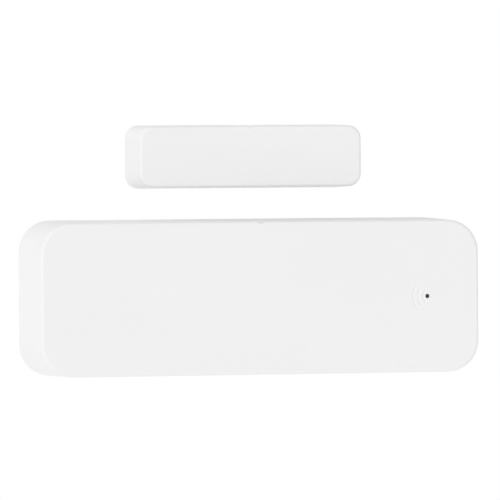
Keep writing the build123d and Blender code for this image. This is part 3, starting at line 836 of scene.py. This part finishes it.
def back_vias():
    """Places of the plated holes on the battery side."""
    x, z = switch_pads[3][:2]
    places = pin_vias() + [(x + SWITCH_VIA[0], z + SWITCH_VIA[1])]
    places += [(rail_x, foot.z + 2.0 + STITCH_PITCH * i) for i in range(STITCH_COUNT)]
    places.append((switch_high.x + 0.9, switch_low.z + 0.2))
    return places


def front_tracks():
    """Copper tracks on the front of the board, out of every chip and chip part, and their vias."""
    tracks, vias = [], []
    for chip, legs, pitch in (("memory_chip", 4, 1.27), ("regulator_chip", 3, 0.95)):
        low, high = box_mm(chip)
        middle = (low.x + high.x) / 2
        for side, edge in ((-1, low.z + CHIP_TRACK_IN), (1, high.z - CHIP_TRACK_IN)):
            for i in range(legs):
                x = middle + (i - (legs - 1) / 2) * pitch
                end = edge + side * (1.1 + 0.6 * (i % 2))
                tracks.append(track_outline([(x, edge), (x, end)], TRACK_W))
                vias.append((x, end))

    reach = 1.5
    for low, high, long_axis in chip_parts:
        x, z = (low.x + high.x) / 2, (low.z + high.z) / 2
        if long_axis == 2:
            ends = [(x, z - reach), (x, z + reach)]
        else:
            ends = [(x - reach, z), (x + reach, z)]
        tracks.append(track_outline(ends, TRACK_W))
        vias += ends

    reed_low, reed_high = box_mm("reed_glass")
    reed_z = (reed_low.z + reed_high.z) / 2
    for side in (-1, 1):
        x = side * blade_end_x
        end = (x - side * REED_TRACK_IN, REED_VIA_Z)
        path = [(x, reed_z), (x, reed_z - 2.0), (end[0], reed_z - 4.2), end]
        tracks.append(track_outline(path, TRACK_W))
        vias.append(end)
    return tracks, vias


def add_copper():
    """Tracks under the solder mask, and the bare rings round the plated holes."""
    front_paths, front_vias = front_tracks()
    bm = bmesh.new()
    layer(bm, back_tracks(), False, 0.0, COPPER_T)
    layer(bm, front_paths, True, 0.0, COPPER_T)
    add_piece("pcb_tracks", bm, SENSOR, track_green)

    bm = bmesh.new()
    for x, z in back_vias():
        add_ring(bm, x, z, VIA_IN, VIA_OUT, BACK, BACK + VIA_T)
    for x, z in front_vias:
        add_ring(bm, x, z, VIA_IN, VIA_OUT, FRONT - VIA_T, FRONT)
    add_piece("pcb_vias", bm, SENSOR, pad_gold)


def radio_pads():
    """Long pads that stick out from under the radio board, one for each of its pins."""
    out, under, half = 0.75, 0.1, 0.38
    outlines = []
    for z in pin_rows:
        z0, z1 = z - half, z + half
        outlines.append(box_outline(radio_low.x - out, radio_low.x + under, z0, z1))
        outlines.append(box_outline(radio_high.x - under, radio_high.x + out, z0, z1))
    return outlines


def add_pads():
    """Gold pads of the radio board, the test points and the switch."""
    outlines = radio_pads()
    outlines += [round_outline(x, z, TEST_POINT_R) for x, z in test_points]
    for x, z, way in switch_pads:
        z0, z1 = sorted((z - way * 0.1, z + way * 1.0))
        outlines.append(box_outline(x - 0.5, x + 0.5, z0, z1))
    bm = bmesh.new()
    layer(bm, outlines, False, PAD_LIFT, COPPER_T)
    add_piece("pcb_pads", bm, SENSOR, pad_gold)


def markings():
    """White lines round the parts on the battery side, and a plus by the capacitor."""
    gap = 0.3
    lines = []
    corner_z = radio_low.z - gap
    for x, way in ((radio_low.x - gap, 1), (radio_high.x + gap, -1)):
        lines.append([(x + way * 1.6, corner_z), (x, corner_z), (x, corner_z + 0.5)])
    for x in (switch_low.x - gap, switch_high.x + gap):
        lines.append([(x, switch_low.z + 0.2), (x, switch_high.z - 0.2)])
    cross_x, cross_z, arm = store.x - 2.3, store.z + 2.9, 0.45
    lines.append([(cross_x - arm, cross_z), (cross_x + arm, cross_z)])
    lines.append([(cross_x, cross_z - arm), (cross_x, cross_z - INK_W / 2)])
    lines.append([(cross_x, cross_z + INK_W / 2), (cross_x, cross_z + arm)])
    outlines = [track_outline(line, INK_W) for line in lines]
    outlines.append(round_outline(radio_low.x - 0.4, radio_low.z + 0.1, 0.16))
    return outlines


def add_markings():
    """The white ink on both sides of the board."""
    top = COPPER_T + INK_T
    bm = bmesh.new()
    layer(bm, markings(), False, 0.0, top)
    rings = [(store.x, store.z, CAPACITOR_RING_R)]
    rings += [(x, z, TEST_RING_R) for x, z in test_points]
    for x, z, radius in rings:
        add_ring(bm, x, z, radius, radius + INK_W, BACK, BACK + COPPER_T + INK_T)
    for chip in ("memory_chip", "regulator_chip", "status_led"):
        low, high = box_mm(chip)
        for x in (low.x - 0.25, high.x + 0.25):
            bar = track_outline([(x, low.z + 0.3), (x, high.z - 0.3)], INK_W)
            layer(bm, [bar], True, 0.0, top)
    add_piece("pcb_markings", bm, SENSOR, marking)


add_copper()
add_pads()
add_markings()


# -------------------- solder and pins
TERMINAL_LONG = 0.32  # metal end of a chip part, along it
TERMINAL_SKIN = 0.018  # how far the metal stands out
TERMINAL_BEVEL = 0.06
TOE_LONG = 0.28  # solder in front of a metal end
TOE_HIGH = 0.16
TOE_BEVEL = 0.07

LEG_W = 0.7
LEG_T = 0.15
# line of a switch leg seen from the side: distance out from the base, height above the pad
LEG_LINE = [(0.0, 1.1), (0.22, 1.05), (0.32, 0.85), (0.32, 0.3), (0.42, 0.12), (0.85, 0.08)]

PIN_HOLE_OUT = 0.30  # plating of a half hole in the radio board's edge
PIN_HOLE_IN = 0.26
PIN_HOLE_STEPS = 8
PIN_PAD_HALF = 0.3
PIN_PAD_REACH = (0.28, 0.62)  # from the radio board's edge inward


def fillet_profile(radius, neck, height, base, way):
    """A concave cone of solder: wide at the pad and thin where it wets the wire."""
    steps = 6
    profile = [(radius, base)]
    for i in range(steps + 1):
        t = i / steps
        profile.append((neck + (radius - neck) * (1 - t) ** 2.2, base + way * (0.03 + height * t)))
    profile.append((neck * 0.4, base + way * (height + 0.06)))
    return profile


def add_solder():
    """Solder on the pins of both boards and on every leg and wire that reaches a pad."""
    pad_top = BACK + COPPER_T
    bm = bmesh.new()
    pin_joint = fillet_profile(0.42, 0.24, 0.62, pad_top, 1)
    for z in pin_rows:
        for x in (radio_low.x, radio_high.x):
            add_turned(bm, x, z, pin_joint, (1.25, 0.85), 16)
    switch_joint = fillet_profile(0.42, 0.26, 0.14, pad_top, 1)
    for x, z, way in switch_pads:
        add_turned(bm, x, z + way * 0.55, switch_joint, (1, 0.9), 16)
    add_turned(bm, foot.x, foot.z, fillet_profile(0.75, 0.31, 0.75, BACK, 1))
    blade_z = (blade_low.z + blade_high.z) / 2
    for side in (-1, 1):
        lead_x = store.x + side * 1.0
        add_turned(bm, lead_x, store.z, fillet_profile(0.7, 0.26, 0.8, FRONT, -1))
        add_turned(bm, side * blade_end_x, blade_z, fillet_profile(0.6, 0.26, 0.6, FRONT, -1))
    for node in ("negative_spring", "positive_contact"):
        low, high = box_mm(node)
        tab_joint = fillet_profile(0.6, 0.2, 0.22, FRONT, -1)
        add_turned(bm, high.x - 0.15, (low.z + high.z) / 2, tab_joint, (1.0, 2.6), 28)
    add_piece("solder_joints", bm, SENSOR, tin_solder)


def add_terminals():
    """Metal ends of the chip capacitors and resistors, each with a toe of solder before it."""
    bm = bmesh.new()
    for low, high, long_axis in chip_parts:
        wide_axis = 2 - long_axis
        for at_high in (False, True):
            a, b = low.copy(), high.copy()
            if at_high:
                a[long_axis] = high[long_axis] - TERMINAL_LONG
                b[long_axis] += TERMINAL_SKIN
            else:
                b[long_axis] = low[long_axis] + TERMINAL_LONG
                a[long_axis] -= TERMINAL_SKIN
            a[wide_axis] -= TERMINAL_SKIN
            b[wide_axis] += TERMINAL_SKIN
            a.y -= TERMINAL_SKIN
            add_block(bm, a, b, TERMINAL_BEVEL)
            toe_low, toe_high = a.copy(), b.copy()
            toe_low.y = b.y - TOE_HIGH
            if at_high:
                toe_high[long_axis] += TOE_LONG
            else:
                toe_low[long_axis] -= TOE_LONG
            add_block(bm, toe_low, toe_high, TOE_BEVEL)
    add_piece("chip_terminals", bm, SENSOR, tin_solder)


def add_switch_legs():
    """The switch's four bent legs."""
    bm = bmesh.new()
    outline = track_outline(LEG_LINE, LEG_T)
    for x, z, way in switch_pads:
        loops = []
        for side_x in (x - LEG_W / 2, x + LEG_W / 2):
            loops.append([(side_x, BACK + COPPER_T + h, z + way * d) for d, h in outline])
        add_loops(bm, loops)
    add_piece("switch_legs", bm, SENSOR, shield_tin)


def add_half_hole(bm, x, z, way):
    """Plating of one half hole in the radio board's edge, open towards the outside."""
    low_y, high_y = BACK + 0.05, radio_high.y + COPPER_T
    corners = ((PIN_HOLE_OUT, low_y), (PIN_HOLE_OUT, high_y),
               (PIN_HOLE_IN, high_y), (PIN_HOLE_IN, low_y))
    rings = []
    for radius, y in corners:
        ring = []
        for i in range(PIN_HOLE_STEPS + 1):
            turn = math.radians(-90 + 180 * i / PIN_HOLE_STEPS)
            point = (x + way * radius * math.cos(turn), y, z + radius * math.sin(turn))
            ring.append(bm.verts.new(point))
        rings.append(ring)
    for lower, upper in zip(rings, rings[1:] + rings[:1]):
        for i in range(PIN_HOLE_STEPS):
            bm.faces.new((lower[i], lower[i + 1], upper[i + 1], upper[i]))
    for end in (0, PIN_HOLE_STEPS):
        bm.faces.new([ring[end] for ring in rings])


def add_castellations():
    """The radio board's pins: plated half holes in its edges, each with a pad on top."""
    top = radio_high.y
    bm = bmesh.new()
    for z in pin_rows:
        for x, way in ((radio_low.x, 1), (radio_high.x, -1)):
            add_half_hole(bm, x, z, way)
            x0, x1 = sorted(x + way * reach for reach in PIN_PAD_REACH)
            pad = box_outline(x0, x1, z - PIN_PAD_HALF, z + PIN_PAD_HALF)
            add_prism(bm, pad, top, top + COPPER_T)
    add_piece("radio_castellations", bm, SENSOR, pad_gold)


add_solder()
add_terminals()
add_switch_legs()
add_castellations()


# -------------------- screws
THREAD_PITCH = 0.45
THREAD_DEPTH = 0.14
THREAD_CORE_R = 0.76
THREAD_HALF = 0.13  # half width at the core, and at the crest
CREST_HALF = 0.02
THREAD_STEPS = 20  # per turn


def add_threads():
    """The cutting thread of both screws, and its run-out at the tip."""
    bm = bmesh.new()
    for low, high in screw_boxes:
        x, z = (low.x + high.x) / 2, (low.z + high.z) / 2
        start, end = low.y + 0.15, FRONT - 0.1
        steps = round((end - start) / THREAD_PITCH * THREAD_STEPS)
        rings = []
        for i in range(steps + 1):
            turn = 2 * math.pi * i / THREAD_STEPS
            y = start + THREAD_PITCH * i / THREAD_STEPS
            grow = min(1.0, i / THREAD_STEPS, (steps - i) / THREAD_STEPS + 0.05) + 0.02
            crest = THREAD_CORE_R + THREAD_DEPTH * grow
            half = THREAD_HALF * grow
            section = ((THREAD_CORE_R, -half), (crest, -CREST_HALF),
                       (crest, CREST_HALF), (THREAD_CORE_R, half))
            rings.append([(x + r * math.cos(turn), y + dy, z + r * math.sin(turn))
                          for r, dy in section])
        add_loops(bm, rings)
    add_piece("screw_threads", bm, SENSOR, screw_zinc)


add_threads()


# -------------------- cells
WASHER_IN = 2.15
WASHER_OUT = 4.5
WASHER_T = 0.14
WASHER_EASE = 0.05  # how much its outer face is smaller at both edges
WASHER_STEPS = 48
WASHER_OUTSIDE = 0.45  # from the sleeve's end outward to the washer
MARK_T = 0.02
MARK_ARM = 1.5
MARK_HALF = 0.35
PLUS_IN = 5.0  # from the cell's positive end
MINUS_IN = 4.0  # from its other end


def cell_details(cell):
    """Insulating washer at the positive end, and a plus and a minus printed on the sleeve."""
    low, high, end_x, inward = CELLS[cell]
    low, high, end_x = low / MM, high / MM, end_x / MM
    axis_y, axis_z = (low.y + high.y) / 2, (low.z + high.z) / 2
    radius = (high.z - low.z) / 2

    bm = bmesh.new()
    near_x = end_x - inward * WASHER_OUTSIDE
    far_x = near_x - inward * WASHER_T
    corners = ((WASHER_IN, near_x), (WASHER_OUT, near_x),
               (WASHER_OUT - WASHER_EASE, far_x), (WASHER_IN + WASHER_EASE, far_x))
    loops = []
    for ring_r, x in corners:
        circle = round_outline(0, 0, ring_r, WASHER_STEPS)
        loops.append([(x, axis_y + u, axis_z + v) for u, v in circle])
    add_loops(bm, loops, closed=True)
    add_piece(f"{cell}_washer", bm, SENSOR, washer_paper)

    bm = bmesh.new()
    arm = math.degrees(MARK_ARM / radius)
    half = math.degrees(MARK_HALF / radius)
    plus_x = end_x + inward * PLUS_IN
    minus_x = end_x + inward * (high.x - low.x - MINUS_IN)
    outside = (radius, MARK_T, axis_y, axis_z)
    add_arc_patch(bm, plus_x - MARK_HALF, plus_x + MARK_HALF, -arm, arm, *outside)
    for side in (-1, 1):
        x0, x1 = sorted((plus_x + side * MARK_HALF, plus_x + side * MARK_ARM))
        add_arc_patch(bm, x0, x1, -half, half, *outside)
    add_piece(f"{cell}_plus_mark", bm, SENSOR, dark_ink)

    bm = bmesh.new()
    add_arc_patch(bm, minus_x - MARK_HALF, minus_x + MARK_HALF, -arm, arm, *outside)
    add_piece(f"{cell}_minus_mark", bm, SENSOR, pale_ink)


washer_paper = ceramic("washer_fibre", (0.52, 0.50, 0.46), (0.62, 0.60, 0.55), 0.7)
dark_ink = ceramic("dark_ink", (0.05, 0.055, 0.06), (0.09, 0.095, 0.10), 0.4)
pale_ink = ceramic("pale_ink", (0.70, 0.71, 0.71), (0.80, 0.81, 0.81), 0.4)
for cell in CELLS:
    cell_details(cell)


# -------------------- stage
# The floor shows as pale grey that fades to white far off. The light that it throws back on the
# object comes from a nearly even glow instead, like that of a white sweep. Lengths are in metres.
FLOOR_Z = -0.10
FLOOR_RADIUS = 3.0
FADE_START = 0.55
FADE_END = 1.05
BOUNCE_NEAR = 1.00
BOUNCE_FAR = 1.05


def add_floor():
    """Adds the round floor: pale paper to the camera, and an even glow to every other ray."""
    bm = bmesh.new()
    bmesh.ops.create_circle(bm, cap_ends=True, segments=96, radius=FLOOR_RADIUS)
    mesh = bpy.data.meshes.new("floor")
    bm.to_mesh(mesh)
    bm.free()
    floor = bpy.data.objects.new("floor", mesh)
    floor.location.z = FLOOR_Z
    bpy.context.scene.collection.objects.link(floor)
    s = Surface("floor_paper", Roughness=0.9, Specular_IOR_Level=0.1)
    s.set("Base Color", s.blend(s.noise(3.0, 4.0), grey(0.72), grey(0.74)))
    distance = s.node("ShaderNodeVectorMath", s.place, operation="LENGTH").outputs["Value"]
    fade = s.node("ShaderNodeMapRange", distance, FADE_START, FADE_END, 0.0, 1.0)
    fade.interpolation_type = "SMOOTHSTEP"
    white = s.node("ShaderNodeEmission", WHITE, 1.0)
    shown = s.node("ShaderNodeMixShader", fade.outputs["Result"], s.shader.outputs[0])
    s.feed(shown.inputs[2], white.outputs[0])
    level = s.span(distance, BOUNCE_NEAR, BOUNCE_FAR, FADE_START, FADE_END)
    bounce = s.node("ShaderNodeEmission", WHITE, level)
    seen = s.node("ShaderNodeLightPath").outputs["Is Camera Ray"]
    mixed = s.node("ShaderNodeMixShader", seen, bounce.outputs[0], shown.outputs[0])
    s.feed(s.tree.nodes["Material Output"].inputs["Surface"], mixed.outputs[0])
    mesh.materials.append(s.material)


# brightness of the tent round the object, and its change along X, Y and Z
TENT_LEVEL = 0.845
TENT_SLOPE = (-0.36, 0.10, -0.17)


def add_world():
    """A soft white tent. It shows as plain white and lights the object a little unevenly."""
    world = bpy.data.worlds.new("studio")
    bpy.context.scene.world = world
    world.use_nodes = True
    tree = world.node_tree
    tree.nodes.clear()

    def node(kind, *inputs, **settings):
        """A node of the world, made as add_node does."""
        return add_node(tree, kind, inputs, settings)

    direction = node("ShaderNodeTexCoord").outputs["Generated"]
    slope = node("ShaderNodeVectorMath", direction, TENT_SLOPE, operation="DOT_PRODUCT")
    level = node("ShaderNodeMath", slope.outputs["Value"], TENT_LEVEL, operation="ADD")
    light = node("ShaderNodeBackground", WHITE, level.outputs[0])
    backdrop = node("ShaderNodeBackground", WHITE, 1.0)
    seen = node("ShaderNodeLightPath").outputs["Is Camera Ray"]
    mixed = node("ShaderNodeMixShader", seen, light.outputs[0], backdrop.outputs[0])
    node("ShaderNodeOutputWorld", mixed.outputs[0])


def add_softbox(name, direction, distance, size, power):
    """A softbox that faces the object."""
    light = bpy.data.lights.new(name, "AREA")
    light.shape = "SQUARE"
    light.size = size
    light.energy = power
    lamp = bpy.data.objects.new(name, light)
    bpy.context.scene.collection.objects.link(lamp)
    away = Vector(direction).normalized()
    lamp.location = VIEW_TARGET + away * distance
    lamp.rotation_euler = (-away).to_track_quat("-Z", "Y").to_euler()


add_camera()
add_floor()
add_world()
add_softbox("key_softbox", direction=(-0.12, -0.80, 0.55), distance=1.2, size=0.5, power=3.0)
bpy.context.scene.view_settings.view_transform = "Standard"
